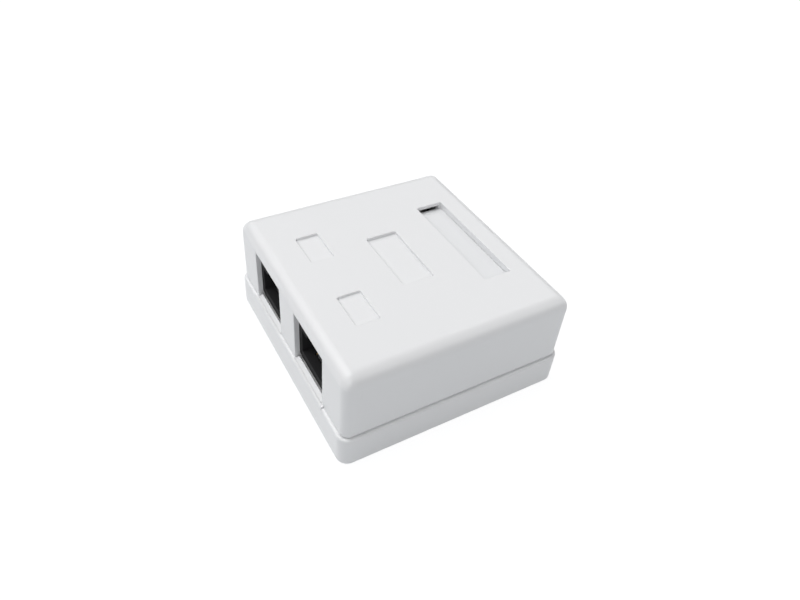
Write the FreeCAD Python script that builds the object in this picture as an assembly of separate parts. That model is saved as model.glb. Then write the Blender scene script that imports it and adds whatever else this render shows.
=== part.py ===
"""Two-port surface mount jack box: a moulded base and cover around a jack board.

Millimetres. +X runs along the port face, +Y away from it and +Z up. The port face
looks along -Y. The origin is the middle of the underside of the base.
"""

import FreeCAD, Part
import math
import os

# Outer moulding
COVER_WIDTH = 62.0
COVER_DEPTH = 59.7
TOTAL_HEIGHT = 27.5
BASE_MARGIN = 0.72
LEDGE_HEIGHT = 9.0
SHADOW_GAP = 0.4
CORNER_RADIUS = 2.2
TOP_EDGE_RADIUS = 3.2
LEDGE_RADIUS = 0.6
FOOT_RADIUS = 0.95
COVER_WALL = 1.85
COVER_ROOF = 2.0
BASE_WALL = 2.2
BASE_FLOOR = 2.0
EMBED = 0.2

# Ports
PORT_PITCH = 24.38
PORT_WIDTH = 15.52
PORT_HEADROOM = 3.07
LIP_RISE = 0.5
LIP_OVERLAP = 0.85
LIP_CLEARANCE = 0.1
LIP_THICKNESS = 1.6
LIP_REACH = 3.3
RIM_RADIUS = 0.2

# Shallow fields on the cover's top
ICON_WIDTH = 10.0
ICON_LENGTH = 6.0
ICON_SETBACK = 12.65
ICON_INSET = 0.25
ICON_DEPTH = 0.62
BADGE_WIDTH = 19.2
BADGE_LENGTH = 8.4
BADGE_CENTRE_Y = 0.2
BADGE_DEPTH = 0.8
FIELD_CORNER = 0.5
LABEL_WIDTH = 32.0
LABEL_LENGTH = 7.6
LABEL_SETBACK = 11.2
LABEL_DEPTH = 1.7
LABEL_CORNER = 0.4
PLATE_THICKNESS = 1.2
PLATE_CLEARANCE = 0.1
PLATE_EDGE_RADIUS = 0.1
PRY_LIP = 0.95
PRY_SLOT_INSET = 0.5
RAMP_LENGTH = 2.4
RAMP_DROP = 0.25
SEAT_THICKNESS = 1.5
DIP_WALL = 1.3

# Cover screw and the post that takes it
SCREW_HEAD_RADIUS = 2.8
SCREW_HEAD_HEIGHT = 1.8
SCREW_SHANK_RADIUS = 1.45
SCREW_LENGTH = 10.0
SCREW_RECESS_WIDTH = 0.8
SCREW_RECESS_DEPTH = 1.0
SCREW_FIT = 0.05
HEAD_ROUNDING = 0.45
TIP_CHAMFER = 0.35
RECESS_REACH = 0.6
HEAD_CLEARANCE = 0.3
HEAD_SINK = 0.4
SHANK_CLEARANCE = 0.25
BOSS_WALL = 1.1
BOSS_WEB = 1.6
POST_RADIUS = 3.2
GUSSET_LENGTH = 3.0
GUSSET_HEIGHT = 8.0
BORE_SPARE = 0.6
RIB_THICKNESS = 1.2

# Locating tabs on the base and guide ribs in the cover
TAB_LENGTH = 8.0
TAB_THICKNESS = 1.2
TAB_RISE = 3.0
TAB_CLEARANCE = 0.15
TAB_CHAMFER = 0.5
SIDE_TAB_FRONT_SETBACK = 8.35
SIDE_TAB_MIDDLE_Y = 1.0
SIDE_TAB_REAR_SETBACK = 6.85
BACK_TAB_PLACES = (-17.0, 17.0)
GUIDE_LENGTH = 3.6
GUIDE_CLEARANCE = 0.3

# Openings and fixings of the base floor
HOLE_PITCH = 47.6
HOLE_SETBACK = 17.85
HOLE_WIDTH = 4.2
SLOT_PITCH = 43.0
REAR_SETBACK = 10.85
SLOT_WIDTH = 4.2
SLOT_LENGTH = 8.2
FIXING_PAD_MARGIN = 1.4
FIXING_PAD_RISE = 0.6
ENTRY_WIDTH = 9.0
ENTRY_LENGTH = 11.0
ENTRY_CENTRE_X = -10.8
ENTRY_CORNER = 2.5
TIE_CENTRE_X = 11.2
TIE_WIDTH = 9.0
TIE_LENGTH = 4.0
TIE_HEIGHT = 4.4
TIE_CORNER = 0.6
TIE_TUNNEL_WIDTH = 5.2
TIE_TUNNEL_HEIGHT = 2.4
KNOCKOUT_WIDTH = 13.0
KNOCKOUT_HEIGHT = 8.0
KNOCKOUT_GROOVE = 0.8
KNOCKOUT_WEB = 0.6

# Circuit board
BOARD_WIDTH = 40.4
BOARD_THICKNESS = 1.6
BOARD_CORNER = 0.8
BOARD_REAR_MARGIN = 2.0
BOARD_TONGUE_WIDTH = 15.0
JACK_OVERHANG = 0.4
WALL_CLEARANCE = 0.3
POST_CLEARANCE = 0.6
BOARD_SCREW_SETBACK = 7.3
BOARD_SCREW_HEAD_RADIUS = 2.3
BOARD_SCREW_HEAD_HEIGHT = 1.5
BOARD_SCREW_SHANK_RADIUS = 1.2
BOARD_SCREW_LENGTH = 5.0
BOARD_SCREW_RECESS_WIDTH = 0.6
BOARD_SCREW_RECESS_DEPTH = 0.8
BOARD_POST_RADIUS = 2.8
BOARD_RIB_INSET = 1.2
HOLE_CLEARANCE = 0.1

# Modular jack: eight contacts, plug tab at the top, away from the board
JACK_WIDTH = 15.2
JACK_LENGTH = 18.0
JACK_SETBACK = 1.25
JACK_TOP_GAP = 0.23
PLUG_WIDTH = 11.8
PLUG_DEPTH = 13.0
TAB_WIDE_WIDTH = 6.2
TAB_NARROW_WIDTH = 4.0
JACK_FACE_WALL = 2.2
JACK_EDGE_RADIUS = 0.5
CONTACT_COUNT = 8
CONTACT_PITCH = 1.02
CONTACT_SIZE = 0.36
COMB_SLOT_WIDTH = 0.56
CARRIER_WIDTH = 12.4
CARRIER_LENGTH = 3.9
CARRIER_CLEARANCE = 0.1
WAIST_INSET = 1.5
WAIST_DEPTH = 0.8
WAIST_FOOT = 0.8
WAIST_HEAD = 0.9
CONTACT_FIT = 0.02
CONTACT_FRONT_SETBACK = 3.3
CONTACT_TIP_DEPTH = 11.0
CONTACT_BEND_RADIUS = 0.55
TAIL_ROW_FRONT = 1.2
TAIL_ROW_REAR = 2.6
TAIL_BELOW_BOARD = 1.8
PEG_RADIUS = 1.5
PEG_SPACING = 11.4
PEG_SETBACK = 8.0
PEG_DROP = 1.4

# Shares of the jack's height, from the board up
RUN_SHARE = 0.076
PLUG_FLOOR_SHARE = 0.153
PLUG_SHARE = 0.519
TAB_STEP_SHARE = 0.115
COMB_SHARE = 0.105
TIP_SHARE = 0.397
CARRIER_SHARE = 0.38

# Terminal blocks, clips and wire caps
WIRES_PER_ROW = 4
WIRE_PITCH = 3.2
ROW_THICKNESS = 3.8
ROW_CENTRE = 5.1
BLOCK_END = 2.0
BLOCK_GAP = 2.7
BLOCK_FOOT = 2.0
BLOCK_HEIGHT = 8.4
WIRE_SLOT_WIDTH = 0.9
WIRE_SLOT_DEPTH = 5.0
TOOTH_CHAMFER = 0.7
CLIP_WIDTH = 2.4
CLIP_THICKNESS = 0.5
CLIP_CLEARANCE = 0.05
CLIP_BELOW_TOP = 1.5
CLIP_SLIT_WIDTH = 0.4
CLIP_SLIT_DEPTH = 4.5
CLIP_MOUTH = 0.5
CLIP_PIN_WIDTH = 0.6
CAP_WALL = 0.7
CAP_CLEARANCE = 0.15
CAP_ROOF = 1.0
CAP_OVERLAP = 3.4
CAP_NOTCH_WIDTH = 1.4
CAP_NOTCH_HEIGHT = 1.8
CAP_PUSHER_WIDTH = 0.7
CAP_PUSHER_DROP = 1.1
CAP_PUSHER_INSET = 0.3
CAP_EDGE_RADIUS = 0.4

# Worked out from the sizes above
COVER_EDGE = LEDGE_HEIGHT + SHADOW_GAP
COVER_FRONT = -COVER_DEPTH / 2
COVER_SIDE = COVER_WIDTH / 2
BASE_WIDTH = COVER_WIDTH + 2 * BASE_MARGIN
BASE_DEPTH = COVER_DEPTH + 2 * BASE_MARGIN
BASE_FRONT = -BASE_DEPTH / 2
ROOF_UNDERSIDE = TOTAL_HEIGHT - COVER_ROOF
SILL_HEIGHT = LEDGE_HEIGHT + LIP_RISE
PORT_TOP = TOTAL_HEIGHT - PORT_HEADROOM
LIP_HALF_WIDTH = PORT_PITCH / 2 + PORT_WIDTH / 2 + LIP_OVERLAP
JACK_FACE_Y = COVER_FRONT + JACK_SETBACK
JACK_REAR_Y = JACK_FACE_Y + JACK_LENGTH
CARRIER_FRONT_Y = JACK_REAR_Y - CARRIER_LENGTH
BOARD_UNDERSIDE = SILL_HEIGHT
BOARD_TOP = BOARD_UNDERSIDE + BOARD_THICKNESS
BOARD_FRONT_Y = COVER_FRONT + COVER_WALL + WALL_CLEARANCE
JACK_TOP = PORT_TOP - JACK_TOP_GAP
JACK_HEIGHT = JACK_TOP - BOARD_TOP
RUN_HEIGHT = BOARD_TOP + RUN_SHARE * JACK_HEIGHT
PLUG_FLOOR = BOARD_TOP + PLUG_FLOOR_SHARE * JACK_HEIGHT
PLUG_CEILING = PLUG_FLOOR + PLUG_SHARE * JACK_HEIGHT
TAB_STEP = TAB_STEP_SHARE * JACK_HEIGHT
CARRIER_TOP = BOARD_TOP + CARRIER_SHARE * JACK_HEIGHT
ICON_CENTRE_Y = COVER_FRONT + ICON_SETBACK
LABEL_CENTRE_Y = COVER_DEPTH / 2 - LABEL_SETBACK
HOLE_Y = COVER_FRONT + HOLE_SETBACK
REAR_FIXING_Y = COVER_DEPTH / 2 - REAR_SETBACK
TAB_OUTER = COVER_WALL + TAB_CLEARANCE
LABEL_FLOOR = TOTAL_HEIGHT - LABEL_DEPTH - PLATE_THICKNESS
SEAT_UNDERSIDE = LABEL_FLOOR - SEAT_THICKNESS
HEAD_SEAT = LABEL_FLOOR - SCREW_HEAD_HEIGHT - HEAD_SINK
BOSS_FOOT = HEAD_SEAT - BOSS_WEB
BOSS_BORE_RADIUS = SCREW_HEAD_RADIUS + HEAD_CLEARANCE
BOSS_RADIUS = BOSS_BORE_RADIUS + BOSS_WALL
BLOCK_LENGTH = (WIRES_PER_ROW - 1) * WIRE_PITCH + 2 * BLOCK_END
BLOCK_FRONT_Y = JACK_REAR_Y + BLOCK_GAP
BLOCK_REAR_Y = BLOCK_FRONT_Y + BLOCK_LENGTH
BLOCK_CENTRE_Y = BLOCK_FRONT_Y + BLOCK_LENGTH / 2
BOARD_REAR_Y = BLOCK_REAR_Y + BOARD_REAR_MARGIN
BLOCK_TOP = BOARD_TOP + BLOCK_HEIGHT
BOARD_SCREW_PLACES = (JACK_FACE_Y + BOARD_SCREW_SETBACK, BLOCK_CENTRE_Y)
SIDE_TAB_PLACES = (
    COVER_FRONT + SIDE_TAB_FRONT_SETBACK,
    SIDE_TAB_MIDDLE_Y,
    COVER_DEPTH / 2 - SIDE_TAB_REAR_SETBACK,
)
PORT_CENTRES = {"left": -PORT_PITCH / 2, "right": PORT_PITCH / 2}


def box(x0, x1, y0, y1, z0, z1):
    """Return a box between two corners."""
    return Part.makeBox(x1 - x0, y1 - y0, z1 - z0, FreeCAD.Vector(x0, y0, z0))


def cylinder(x, y, z0, z1, radius):
    """Return an upright cylinder."""
    return Part.makeCylinder(radius, z1 - z0, FreeCAD.Vector(x, y, z0))


def rounded_block(width, length, z0, z1, radius, x=0.0, y=0.0):
    """Return an upright block with rounded vertical corners, centred on x, y."""
    block = box(x - width / 2, x + width / 2, y - length / 2, y + length / 2, z0, z1)
    if radius <= 0:
        return block
    upright = [e for e in block.Edges if abs(e.Vertexes[0].Z - e.Vertexes[1].Z) > 1e-6]
    return block.makeFillet(radius, upright)


def prism(points, direction):
    """Return the solid of a flat outline pushed along a direction."""
    corners = [FreeCAD.Vector(*p) for p in points]
    return Part.Face(Part.makePolygon(corners + corners[:1])).extrude(FreeCAD.Vector(*direction))


def join(shapes):
    """Fuse solids into one and clean its faces."""
    return shapes[0].multiFuse(shapes[1:]).removeSplitter()


def edges_at_height(shape, z):
    """Return the edges that lie wholly at one height."""
    found = []
    for edge in shape.Edges:
        bounds = edge.BoundBox
        if abs(bounds.ZMin - z) < 1e-4 and abs(bounds.ZMax - z) < 1e-4:
            found.append(edge)
    return found


def soft_box(width, length, z0, z1, corner, top_radius):
    """Return a box whose uprights and top edges have different radii."""
    document = FreeCAD.newDocument("soft")
    source = document.addObject("Part::Feature", "source")
    source.Shape = box(-width / 2, width / 2, -length / 2, length / 2, z0, z1)
    fillet = document.addObject("Part::Fillet", "fillet")
    fillet.Base = source
    radii = []
    for number, edge in enumerate(source.Shape.Edges, start=1):
        bounds = edge.BoundBox
        if bounds.ZMax - bounds.ZMin > 1e-6:
            radii.append((number, corner, corner))
        elif abs(bounds.ZMin - z1) < 1e-4:
            radii.append((number, top_radius, top_radius))
    fillet.Edges = radii
    document.recompute()
    shape = fillet.Shape.copy()
    FreeCAD.closeDocument(document.Name)
    return shape.Solids[0]


def slot_prism(x, y, width, length, z0, z1):
    """Return a slot with round ends, its length along X."""
    run = (length - width) / 2
    if run <= 0:
        return cylinder(x, y, z0, z1, width / 2)
    ends = [cylinder(x + side * run, y, z0, z1, width / 2) for side in (-1, 1)]
    return join([box(x - run, x + run, y - width / 2, y + width / 2, z0, z1)] + ends)


def pan_head_screw(x, y, seat, head, shank, recess):
    """Return a pan head screw: head is (radius, height), shank is (radius, length)."""
    head_radius, head_height = head
    shank_radius, length = shank
    recess_width, recess_depth = recess
    dome = cylinder(x, y, seat, seat + head_height, head_radius)
    dome = dome.makeFillet(head_height * HEAD_ROUNDING, edges_at_height(dome, seat + head_height))
    body = join([dome, cylinder(x, y, seat - length, seat, shank_radius)])
    body = body.makeChamfer(shank_radius * TIP_CHAMFER, edges_at_height(body, seat - length))
    top = seat + head_height
    arm = head_radius * RECESS_REACH
    half = recess_width / 2
    across = box(x - arm, x + arm, y - half, y + half, top - recess_depth, top)
    along = box(x - half, x + half, y - arm, y + arm, top - recess_depth, top)
    return body.cut(across.fuse(along))


def wall_fixings():
    """Return x, y, width and length of the two front holes and the two rear slots."""
    fixings = []
    for side in (-1, 1):
        fixings.append((side * HOLE_PITCH / 2, HOLE_Y, HOLE_WIDTH, HOLE_WIDTH))
        fixings.append((side * SLOT_PITCH / 2, REAR_FIXING_Y, SLOT_WIDTH, SLOT_LENGTH))
    return fixings


def base_tray():
    """Return the tray itself: floor, low wall and the soft outer edges."""
    corner = CORNER_RADIUS + BASE_MARGIN
    tray = rounded_block(BASE_WIDTH, BASE_DEPTH, 0, LEDGE_HEIGHT, corner)
    tray = tray.makeFillet(FOOT_RADIUS, edges_at_height(tray, 0))
    tray = tray.makeFillet(LEDGE_RADIUS, edges_at_height(tray, LEDGE_HEIGHT))
    hollow = rounded_block(
        BASE_WIDTH - 2 * BASE_WALL,
        BASE_DEPTH - 2 * BASE_WALL,
        BASE_FLOOR,
        LEDGE_HEIGHT + 1,
        corner - BASE_WALL,
    )
    return tray.cut(hollow)


def base_lip():
    """Return the raised lip under the ports, whose top is the sill of both."""
    lip = box(
        -LIP_HALF_WIDTH,
        LIP_HALF_WIDTH,
        BASE_FRONT,
        COVER_FRONT + LIP_REACH,
        SILL_HEIGHT - LIP_THICKNESS,
        SILL_HEIGHT,
    )
    front = [e for e in edges_at_height(lip, SILL_HEIGHT) if e.BoundBox.YMax < BASE_FRONT + 1e-4]
    return lip.makeFillet(LEDGE_RADIUS, front)


def locating_tab(x, y, turn):
    """Return one tab that keeps the cover's wall in line, standing on a thick pad.

    The tab is drawn at the +X wall's inner side and then turned about Z.
    """
    reach = COVER_SIDE if turn in (0, 180) else COVER_DEPTH / 2
    outer = reach - TAB_OUTER
    inner = outer - TAB_THICKNESS
    wall_inside = reach + BASE_MARGIN - BASE_WALL
    half = TAB_LENGTH / 2
    top = LEDGE_HEIGHT + TAB_RISE
    pad = box(inner, wall_inside + EMBED, -half, half, BASE_FLOOR, LEDGE_HEIGHT)
    tab = box(inner, outer, -half, half, LEDGE_HEIGHT, top)
    lead = [e for e in edges_at_height(tab, top) if e.BoundBox.XMin > outer - 1e-4]
    tab = tab.makeChamfer(TAB_CHAMFER, lead)
    piece = pad.fuse(tab)
    piece.rotate(FreeCAD.Vector(0, 0, 0), FreeCAD.Vector(0, 0, 1), turn)
    piece.translate(FreeCAD.Vector(x, y, 0))
    return piece


def locating_tabs():
    """Return every locating tab of the base."""
    tabs = []
    for place in SIDE_TAB_PLACES:
        tabs.append(locating_tab(0, place, 0))
        tabs.append(locating_tab(0, place, 180))
    for place in BACK_TAB_PLACES:
        tabs.append(locating_tab(place, 0, 90))
    return tabs


def cover_post():
    """Return the post under the cover screw, with four gussets at its foot."""
    post = cylinder(0, LABEL_CENTRE_Y, BASE_FLOOR, BOSS_FOOT, POST_RADIUS)
    reach = POST_RADIUS + GUSSET_LENGTH
    top = BASE_FLOOR + GUSSET_HEIGHT
    half = RIB_THICKNESS / 2
    outline = [
        (-half, 0, BASE_FLOOR),
        (-half, reach, BASE_FLOOR),
        (-half, POST_RADIUS - EMBED, top),
        (-half, 0, top),
    ]
    gusset = prism(outline, (RIB_THICKNESS, 0, 0))
    pieces = [post]
    for turn in (45, 135, 225, 315):
        fin = gusset.copy()
        fin.rotate(FreeCAD.Vector(0, 0, 0), FreeCAD.Vector(0, 0, 1), turn)
        fin.translate(FreeCAD.Vector(0, LABEL_CENTRE_Y, 0))
        pieces.append(fin)
    bore_foot = HEAD_SEAT - SCREW_LENGTH - BORE_SPARE
    bore_radius = SCREW_SHANK_RADIUS + SCREW_FIT
    bore = cylinder(0, LABEL_CENTRE_Y, bore_foot, BOSS_FOOT, bore_radius)
    return join(pieces).cut(bore)


def board_supports():
    """Return the screw posts and side ribs that carry the circuit board."""
    pieces = []
    for place in BOARD_SCREW_PLACES:
        post = cylinder(0, place, BASE_FLOOR, BOARD_UNDERSIDE, BOARD_POST_RADIUS)
        bore_foot = BOARD_TOP - BOARD_SCREW_LENGTH - BORE_SPARE
        bore_radius = BOARD_SCREW_SHANK_RADIUS + SCREW_FIT
        bore = cylinder(0, place, bore_foot, BOARD_UNDERSIDE, bore_radius)
        pieces.append(post.cut(bore))
    outer = BOARD_WIDTH / 2 - BOARD_RIB_INSET
    inner = outer - RIB_THICKNESS
    rib_front = COVER_FRONT + LIP_REACH - EMBED
    rib_rear = BOARD_REAR_Y - BOARD_RIB_INSET
    for side in (-1, 1):
        x0, x1 = sorted((side * inner, side * outer))
        pieces.append(box(x0, x1, rib_front, rib_rear, BASE_FLOOR, BOARD_UNDERSIDE))
    return pieces


def tie_anchor():
    """Return the small bridge that a cable tie is looped through."""
    bridge = rounded_block(
        TIE_WIDTH,
        TIE_LENGTH,
        BASE_FLOOR,
        BASE_FLOOR + TIE_HEIGHT,
        TIE_CORNER,
        TIE_CENTRE_X,
        REAR_FIXING_Y,
    )
    half = TIE_TUNNEL_WIDTH / 2
    tunnel = box(
        TIE_CENTRE_X - half,
        TIE_CENTRE_X + half,
        REAR_FIXING_Y - TIE_LENGTH,
        REAR_FIXING_Y + TIE_LENGTH,
        BASE_FLOOR,
        BASE_FLOOR + TIE_TUNNEL_HEIGHT,
    )
    return bridge.cut(tunnel)


def make_base():
    """Return the base: tray, lip, tabs, posts, wall fixings and cable entry."""
    pieces = [base_tray(), base_lip(), cover_post(), tie_anchor()]
    pieces += locating_tabs() + board_supports()
    pad_top = BASE_FLOOR + FIXING_PAD_RISE
    grow = 2 * FIXING_PAD_MARGIN
    for x, y, width, length in wall_fixings():
        pieces.append(slot_prism(x, y, width + grow, length + grow, BASE_FLOOR, pad_top))
    base = join(pieces)
    cuts = []
    for x, y, width, length in wall_fixings():
        cuts.append(slot_prism(x, y, width, length, -1, pad_top + 1))
    entry = rounded_block(
        ENTRY_WIDTH, ENTRY_LENGTH, -1, BASE_FLOOR + 1, ENTRY_CORNER, ENTRY_CENTRE_X, REAR_FIXING_Y
    )
    return base.cut(cuts + [entry])


def cover_shell():
    """Return the plain shell of the cover with its soft edges."""
    outer = soft_box(COVER_WIDTH, COVER_DEPTH, COVER_EDGE, TOTAL_HEIGHT, CORNER_RADIUS, TOP_EDGE_RADIUS)
    inner = soft_box(
        COVER_WIDTH - 2 * COVER_WALL,
        COVER_DEPTH - 2 * COVER_WALL,
        COVER_EDGE - 1,
        ROOF_UNDERSIDE,
        CORNER_RADIUS - COVER_WALL,
        TOP_EDGE_RADIUS - COVER_WALL,
    )
    return outer.cut(inner)


def front_skirt():
    """Return the stretch of the front wall that reaches down onto the base."""
    half = COVER_SIDE - CORNER_RADIUS
    return box(-half, half, COVER_FRONT, COVER_FRONT + COVER_WALL, LEDGE_HEIGHT, COVER_EDGE)


def label_dip():
    """Return the box below the label field that carries the label plate."""
    return rounded_block(
        LABEL_WIDTH + 2 * DIP_WALL,
        LABEL_LENGTH + 2 * DIP_WALL,
        SEAT_UNDERSIDE,
        ROOF_UNDERSIDE + EMBED,
        LABEL_CORNER + DIP_WALL,
        0,
        LABEL_CENTRE_Y,
    )


def jack_guides():
    """Return the ribs behind the front wall that stand beside each jack."""
    ribs = []
    inside = COVER_FRONT + COVER_WALL
    for centre in PORT_CENTRES.values():
        for side in (-1, 1):
            near = centre + side * (JACK_WIDTH / 2 + GUIDE_CLEARANCE)
            x0, x1 = sorted((near, near + side * RIB_THICKNESS))
            foot = BOARD_TOP + GUIDE_CLEARANCE
            top = ROOF_UNDERSIDE + EMBED
            ribs.append(box(x0, x1, inside - EMBED, inside + GUIDE_LENGTH, foot, top))
    return ribs


def cover_fields():
    """Return the cuts of the icon fields, the badge field and the label field."""
    cuts = []
    over = TOTAL_HEIGHT + 1
    for centre in PORT_CENTRES.values():
        x = centre - math.copysign(ICON_INSET, centre)
        floor = TOTAL_HEIGHT - ICON_DEPTH
        cuts.append(rounded_block(ICON_WIDTH, ICON_LENGTH, floor, over, FIELD_CORNER, x, ICON_CENTRE_Y))
    floor = TOTAL_HEIGHT - BADGE_DEPTH
    cuts.append(rounded_block(BADGE_WIDTH, BADGE_LENGTH, floor, over, FIELD_CORNER, 0, BADGE_CENTRE_Y))
    label = rounded_block(LABEL_WIDTH, LABEL_LENGTH, LABEL_FLOOR, over, LABEL_CORNER, 0, LABEL_CENTRE_Y)
    return cuts + [label]


def pry_slot():
    """Return the undercut below the lip at the label field's -X end."""
    end = -LABEL_WIDTH / 2
    half = LABEL_LENGTH / 2 - PRY_SLOT_INSET
    y0 = LABEL_CENTRE_Y - half
    y1 = LABEL_CENTRE_Y + half
    return box(end - DIP_WALL - EMBED, end + EMBED, y0, y1, LABEL_FLOOR, TOTAL_HEIGHT - PRY_LIP)


def knockout_groove():
    """Return the groove inside the back wall that outlines the cable knockout."""
    inside = COVER_DEPTH / 2 - COVER_WALL
    skin = COVER_DEPTH / 2 - KNOCKOUT_WEB
    half = KNOCKOUT_WIDTH / 2
    top = COVER_EDGE + KNOCKOUT_HEIGHT
    outer = box(-half, half, inside - 1, skin, COVER_EDGE - 1, top)
    inset = half - KNOCKOUT_GROOVE
    island = box(-inset, inset, inside - 2, skin + 1, COVER_EDGE - 2, top - KNOCKOUT_GROOVE)
    return outer.cut(island)


def soften_rims(cover):
    """Return the cover with small radii round its ports and the fields in its top."""
    rims = []
    field_reach = max(LABEL_WIDTH, 2 * LIP_HALF_WIDTH) / 2 + 1
    for edge in edges_at_height(cover, TOTAL_HEIGHT):
        bounds = edge.BoundBox
        inside_y = COVER_DEPTH / 2 - TOP_EDGE_RADIUS - 1
        if max(abs(bounds.XMin), abs(bounds.XMax)) < field_reach and abs(bounds.YMax) < inside_y:
            rims.append(edge)
    for edge in cover.Edges:
        bounds = edge.BoundBox
        on_face = abs(bounds.YMin - COVER_FRONT) < 1e-4 and abs(bounds.YMax - COVER_FRONT) < 1e-4
        in_port = bounds.ZMax < PORT_TOP + 1e-4 and max(abs(bounds.XMin), abs(bounds.XMax)) < LIP_HALF_WIDTH
        if on_face and in_port and bounds.ZMax > SILL_HEIGHT + 1:
            rims.append(edge)
    return cover.makeFillet(RIM_RADIUS, rims)


def make_cover():
    """Return the cover: shell, ports, fields, screw boss, guides and knockout."""
    boss = cylinder(0, LABEL_CENTRE_Y, BOSS_FOOT, SEAT_UNDERSIDE + EMBED, BOSS_RADIUS)
    cover = join([cover_shell(), front_skirt(), label_dip(), boss] + jack_guides())
    cuts = cover_fields()
    half = LIP_HALF_WIDTH + LIP_CLEARANCE
    front = COVER_FRONT - 1
    rear = COVER_FRONT + COVER_WALL + EMBED
    cuts.append(box(-half, half, front, rear, LEDGE_HEIGHT - 1, SILL_HEIGHT))
    for centre in PORT_CENTRES.values():
        side = PORT_WIDTH / 2
        cuts.append(box(centre - side, centre + side, front, rear, LEDGE_HEIGHT - 1, PORT_TOP))
    shank_hole = SCREW_SHANK_RADIUS + SHANK_CLEARANCE
    cuts.append(cylinder(0, LABEL_CENTRE_Y, HEAD_SEAT, LABEL_FLOOR + EMBED, BOSS_BORE_RADIUS))
    cuts.append(cylinder(0, LABEL_CENTRE_Y, BOSS_FOOT - 1, HEAD_SEAT, shank_hole))
    cuts.append(pry_slot())
    cuts.append(knockout_groove())
    return soften_rims(cover.cut(cuts))


def make_label_plate():
    """Return the plate that fills the label field, its -X end curved down to the pry slot."""
    x0 = -LABEL_WIDTH / 2 + PLATE_CLEARANCE
    x1 = LABEL_WIDTH / 2 - PLATE_CLEARANCE
    y0 = LABEL_CENTRE_Y - LABEL_LENGTH / 2 + PLATE_CLEARANCE
    length = LABEL_LENGTH - 2 * PLATE_CLEARANCE
    top = LABEL_FLOOR + PLATE_THICKNESS
    ramp_radius = (RAMP_LENGTH**2 + RAMP_DROP**2) / (2 * RAMP_DROP)
    half_way = RAMP_LENGTH / 2
    sag = ramp_radius - math.sqrt(ramp_radius**2 - half_way**2)
    foot_start = FreeCAD.Vector(x0, y0, LABEL_FLOOR)
    foot_end = FreeCAD.Vector(x1, y0, LABEL_FLOOR)
    top_end = FreeCAD.Vector(x1, y0, top)
    ramp_top = FreeCAD.Vector(x0 + RAMP_LENGTH, y0, top)
    ramp_middle = FreeCAD.Vector(x0 + half_way, y0, top - sag)
    ramp_foot = FreeCAD.Vector(x0, y0, top - RAMP_DROP)
    lines = [
        Part.makeLine(foot_start, foot_end),
        Part.makeLine(foot_end, top_end),
        Part.makeLine(top_end, ramp_top),
        Part.Arc(ramp_top, ramp_middle, ramp_foot).toShape(),
        Part.makeLine(ramp_foot, foot_start),
    ]
    plate = Part.Face(Part.Wire(lines)).extrude(FreeCAD.Vector(0, length, 0))
    uprights = [e for e in plate.Edges if e.BoundBox.XLength < 1e-4 and e.BoundBox.YLength < 1e-4]
    plate = plate.makeFillet(LABEL_CORNER, uprights)
    rim = []
    for edge in plate.Edges:
        bounds = edge.BoundBox
        if bounds.ZMin > top - 1e-4 and bounds.XMax > x0 + RAMP_LENGTH + 1e-4:
            rim.append(edge)
    return plate.makeFillet(PLATE_EDGE_RADIUS, rim)


def make_cover_screw():
    """Return the screw that holds the cover down, under the label plate."""
    return pan_head_screw(
        0,
        LABEL_CENTRE_Y,
        HEAD_SEAT,
        (SCREW_HEAD_RADIUS, SCREW_HEAD_HEIGHT),
        (SCREW_SHANK_RADIUS, SCREW_LENGTH),
        (SCREW_RECESS_WIDTH, SCREW_RECESS_DEPTH),
    )


def contact_places():
    """Return offset across the jack and tail setback of each contact."""
    places = []
    for number in range(CONTACT_COUNT):
        offset = (number - (CONTACT_COUNT - 1) / 2) * CONTACT_PITCH
        setback = TAIL_ROW_FRONT if number % 2 else TAIL_ROW_REAR
        places.append((offset, setback))
    return places


def clip_places(centre):
    """Return the centre of every terminal clip of one port."""
    places = []
    for side in (-1, 1):
        for number in range(WIRES_PER_ROW):
            y = BLOCK_CENTRE_Y + (number - (WIRES_PER_ROW - 1) / 2) * WIRE_PITCH
            places.append((centre + side * ROW_CENTRE, y))
    return places


def square_pin(x, y, half, z0, z1):
    """Return an upright square pin."""
    return box(x - half, x + half, y - half, y + half, z0, z1)


def make_circuit_board():
    """Return the board with its screw, peg, tail and clip holes."""
    plain = rounded_block(
        BOARD_WIDTH,
        BOARD_REAR_Y - BOARD_FRONT_Y,
        BOARD_UNDERSIDE,
        BOARD_TOP,
        BOARD_CORNER,
        0,
        (BOARD_REAR_Y + BOARD_FRONT_Y) / 2,
    )
    pieces = [plain]
    half = BOARD_TONGUE_WIDTH / 2
    front = JACK_FACE_Y + JACK_OVERHANG
    inner = BOARD_FRONT_Y + EMBED
    for centre in PORT_CENTRES.values():
        pieces.append(box(centre - half, centre + half, front, inner, BOARD_UNDERSIDE, BOARD_TOP))
    board = join(pieces)
    low = BOARD_UNDERSIDE - 1
    high = BOARD_TOP + 1
    relief = POST_RADIUS + POST_CLEARANCE
    cuts = [slot_prism(0, LABEL_CENTRE_Y, 2 * relief, 2 * relief, low, high)]
    screw_hole = BOARD_SCREW_SHANK_RADIUS + 2 * HOLE_CLEARANCE
    for place in BOARD_SCREW_PLACES:
        cuts.append(cylinder(0, place, low, high, screw_hole))
    for centre in PORT_CENTRES.values():
        for side in (-1, 1):
            x = centre + side * PEG_SPACING / 2
            peg_hole = PEG_RADIUS + HOLE_CLEARANCE
            cuts.append(cylinder(x, JACK_FACE_Y + PEG_SETBACK, low, high, peg_hole))
        for offset, setback in contact_places():
            half = CONTACT_SIZE / 2 + HOLE_CLEARANCE
            cuts.append(square_pin(centre + offset, CARRIER_FRONT_Y + setback, half, low, high))
        for x, y in clip_places(centre):
            half = CLIP_PIN_WIDTH / 2 + HOLE_CLEARANCE
            cuts.append(square_pin(x, y, half, low, high))
    return board.cut(cuts)


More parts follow.
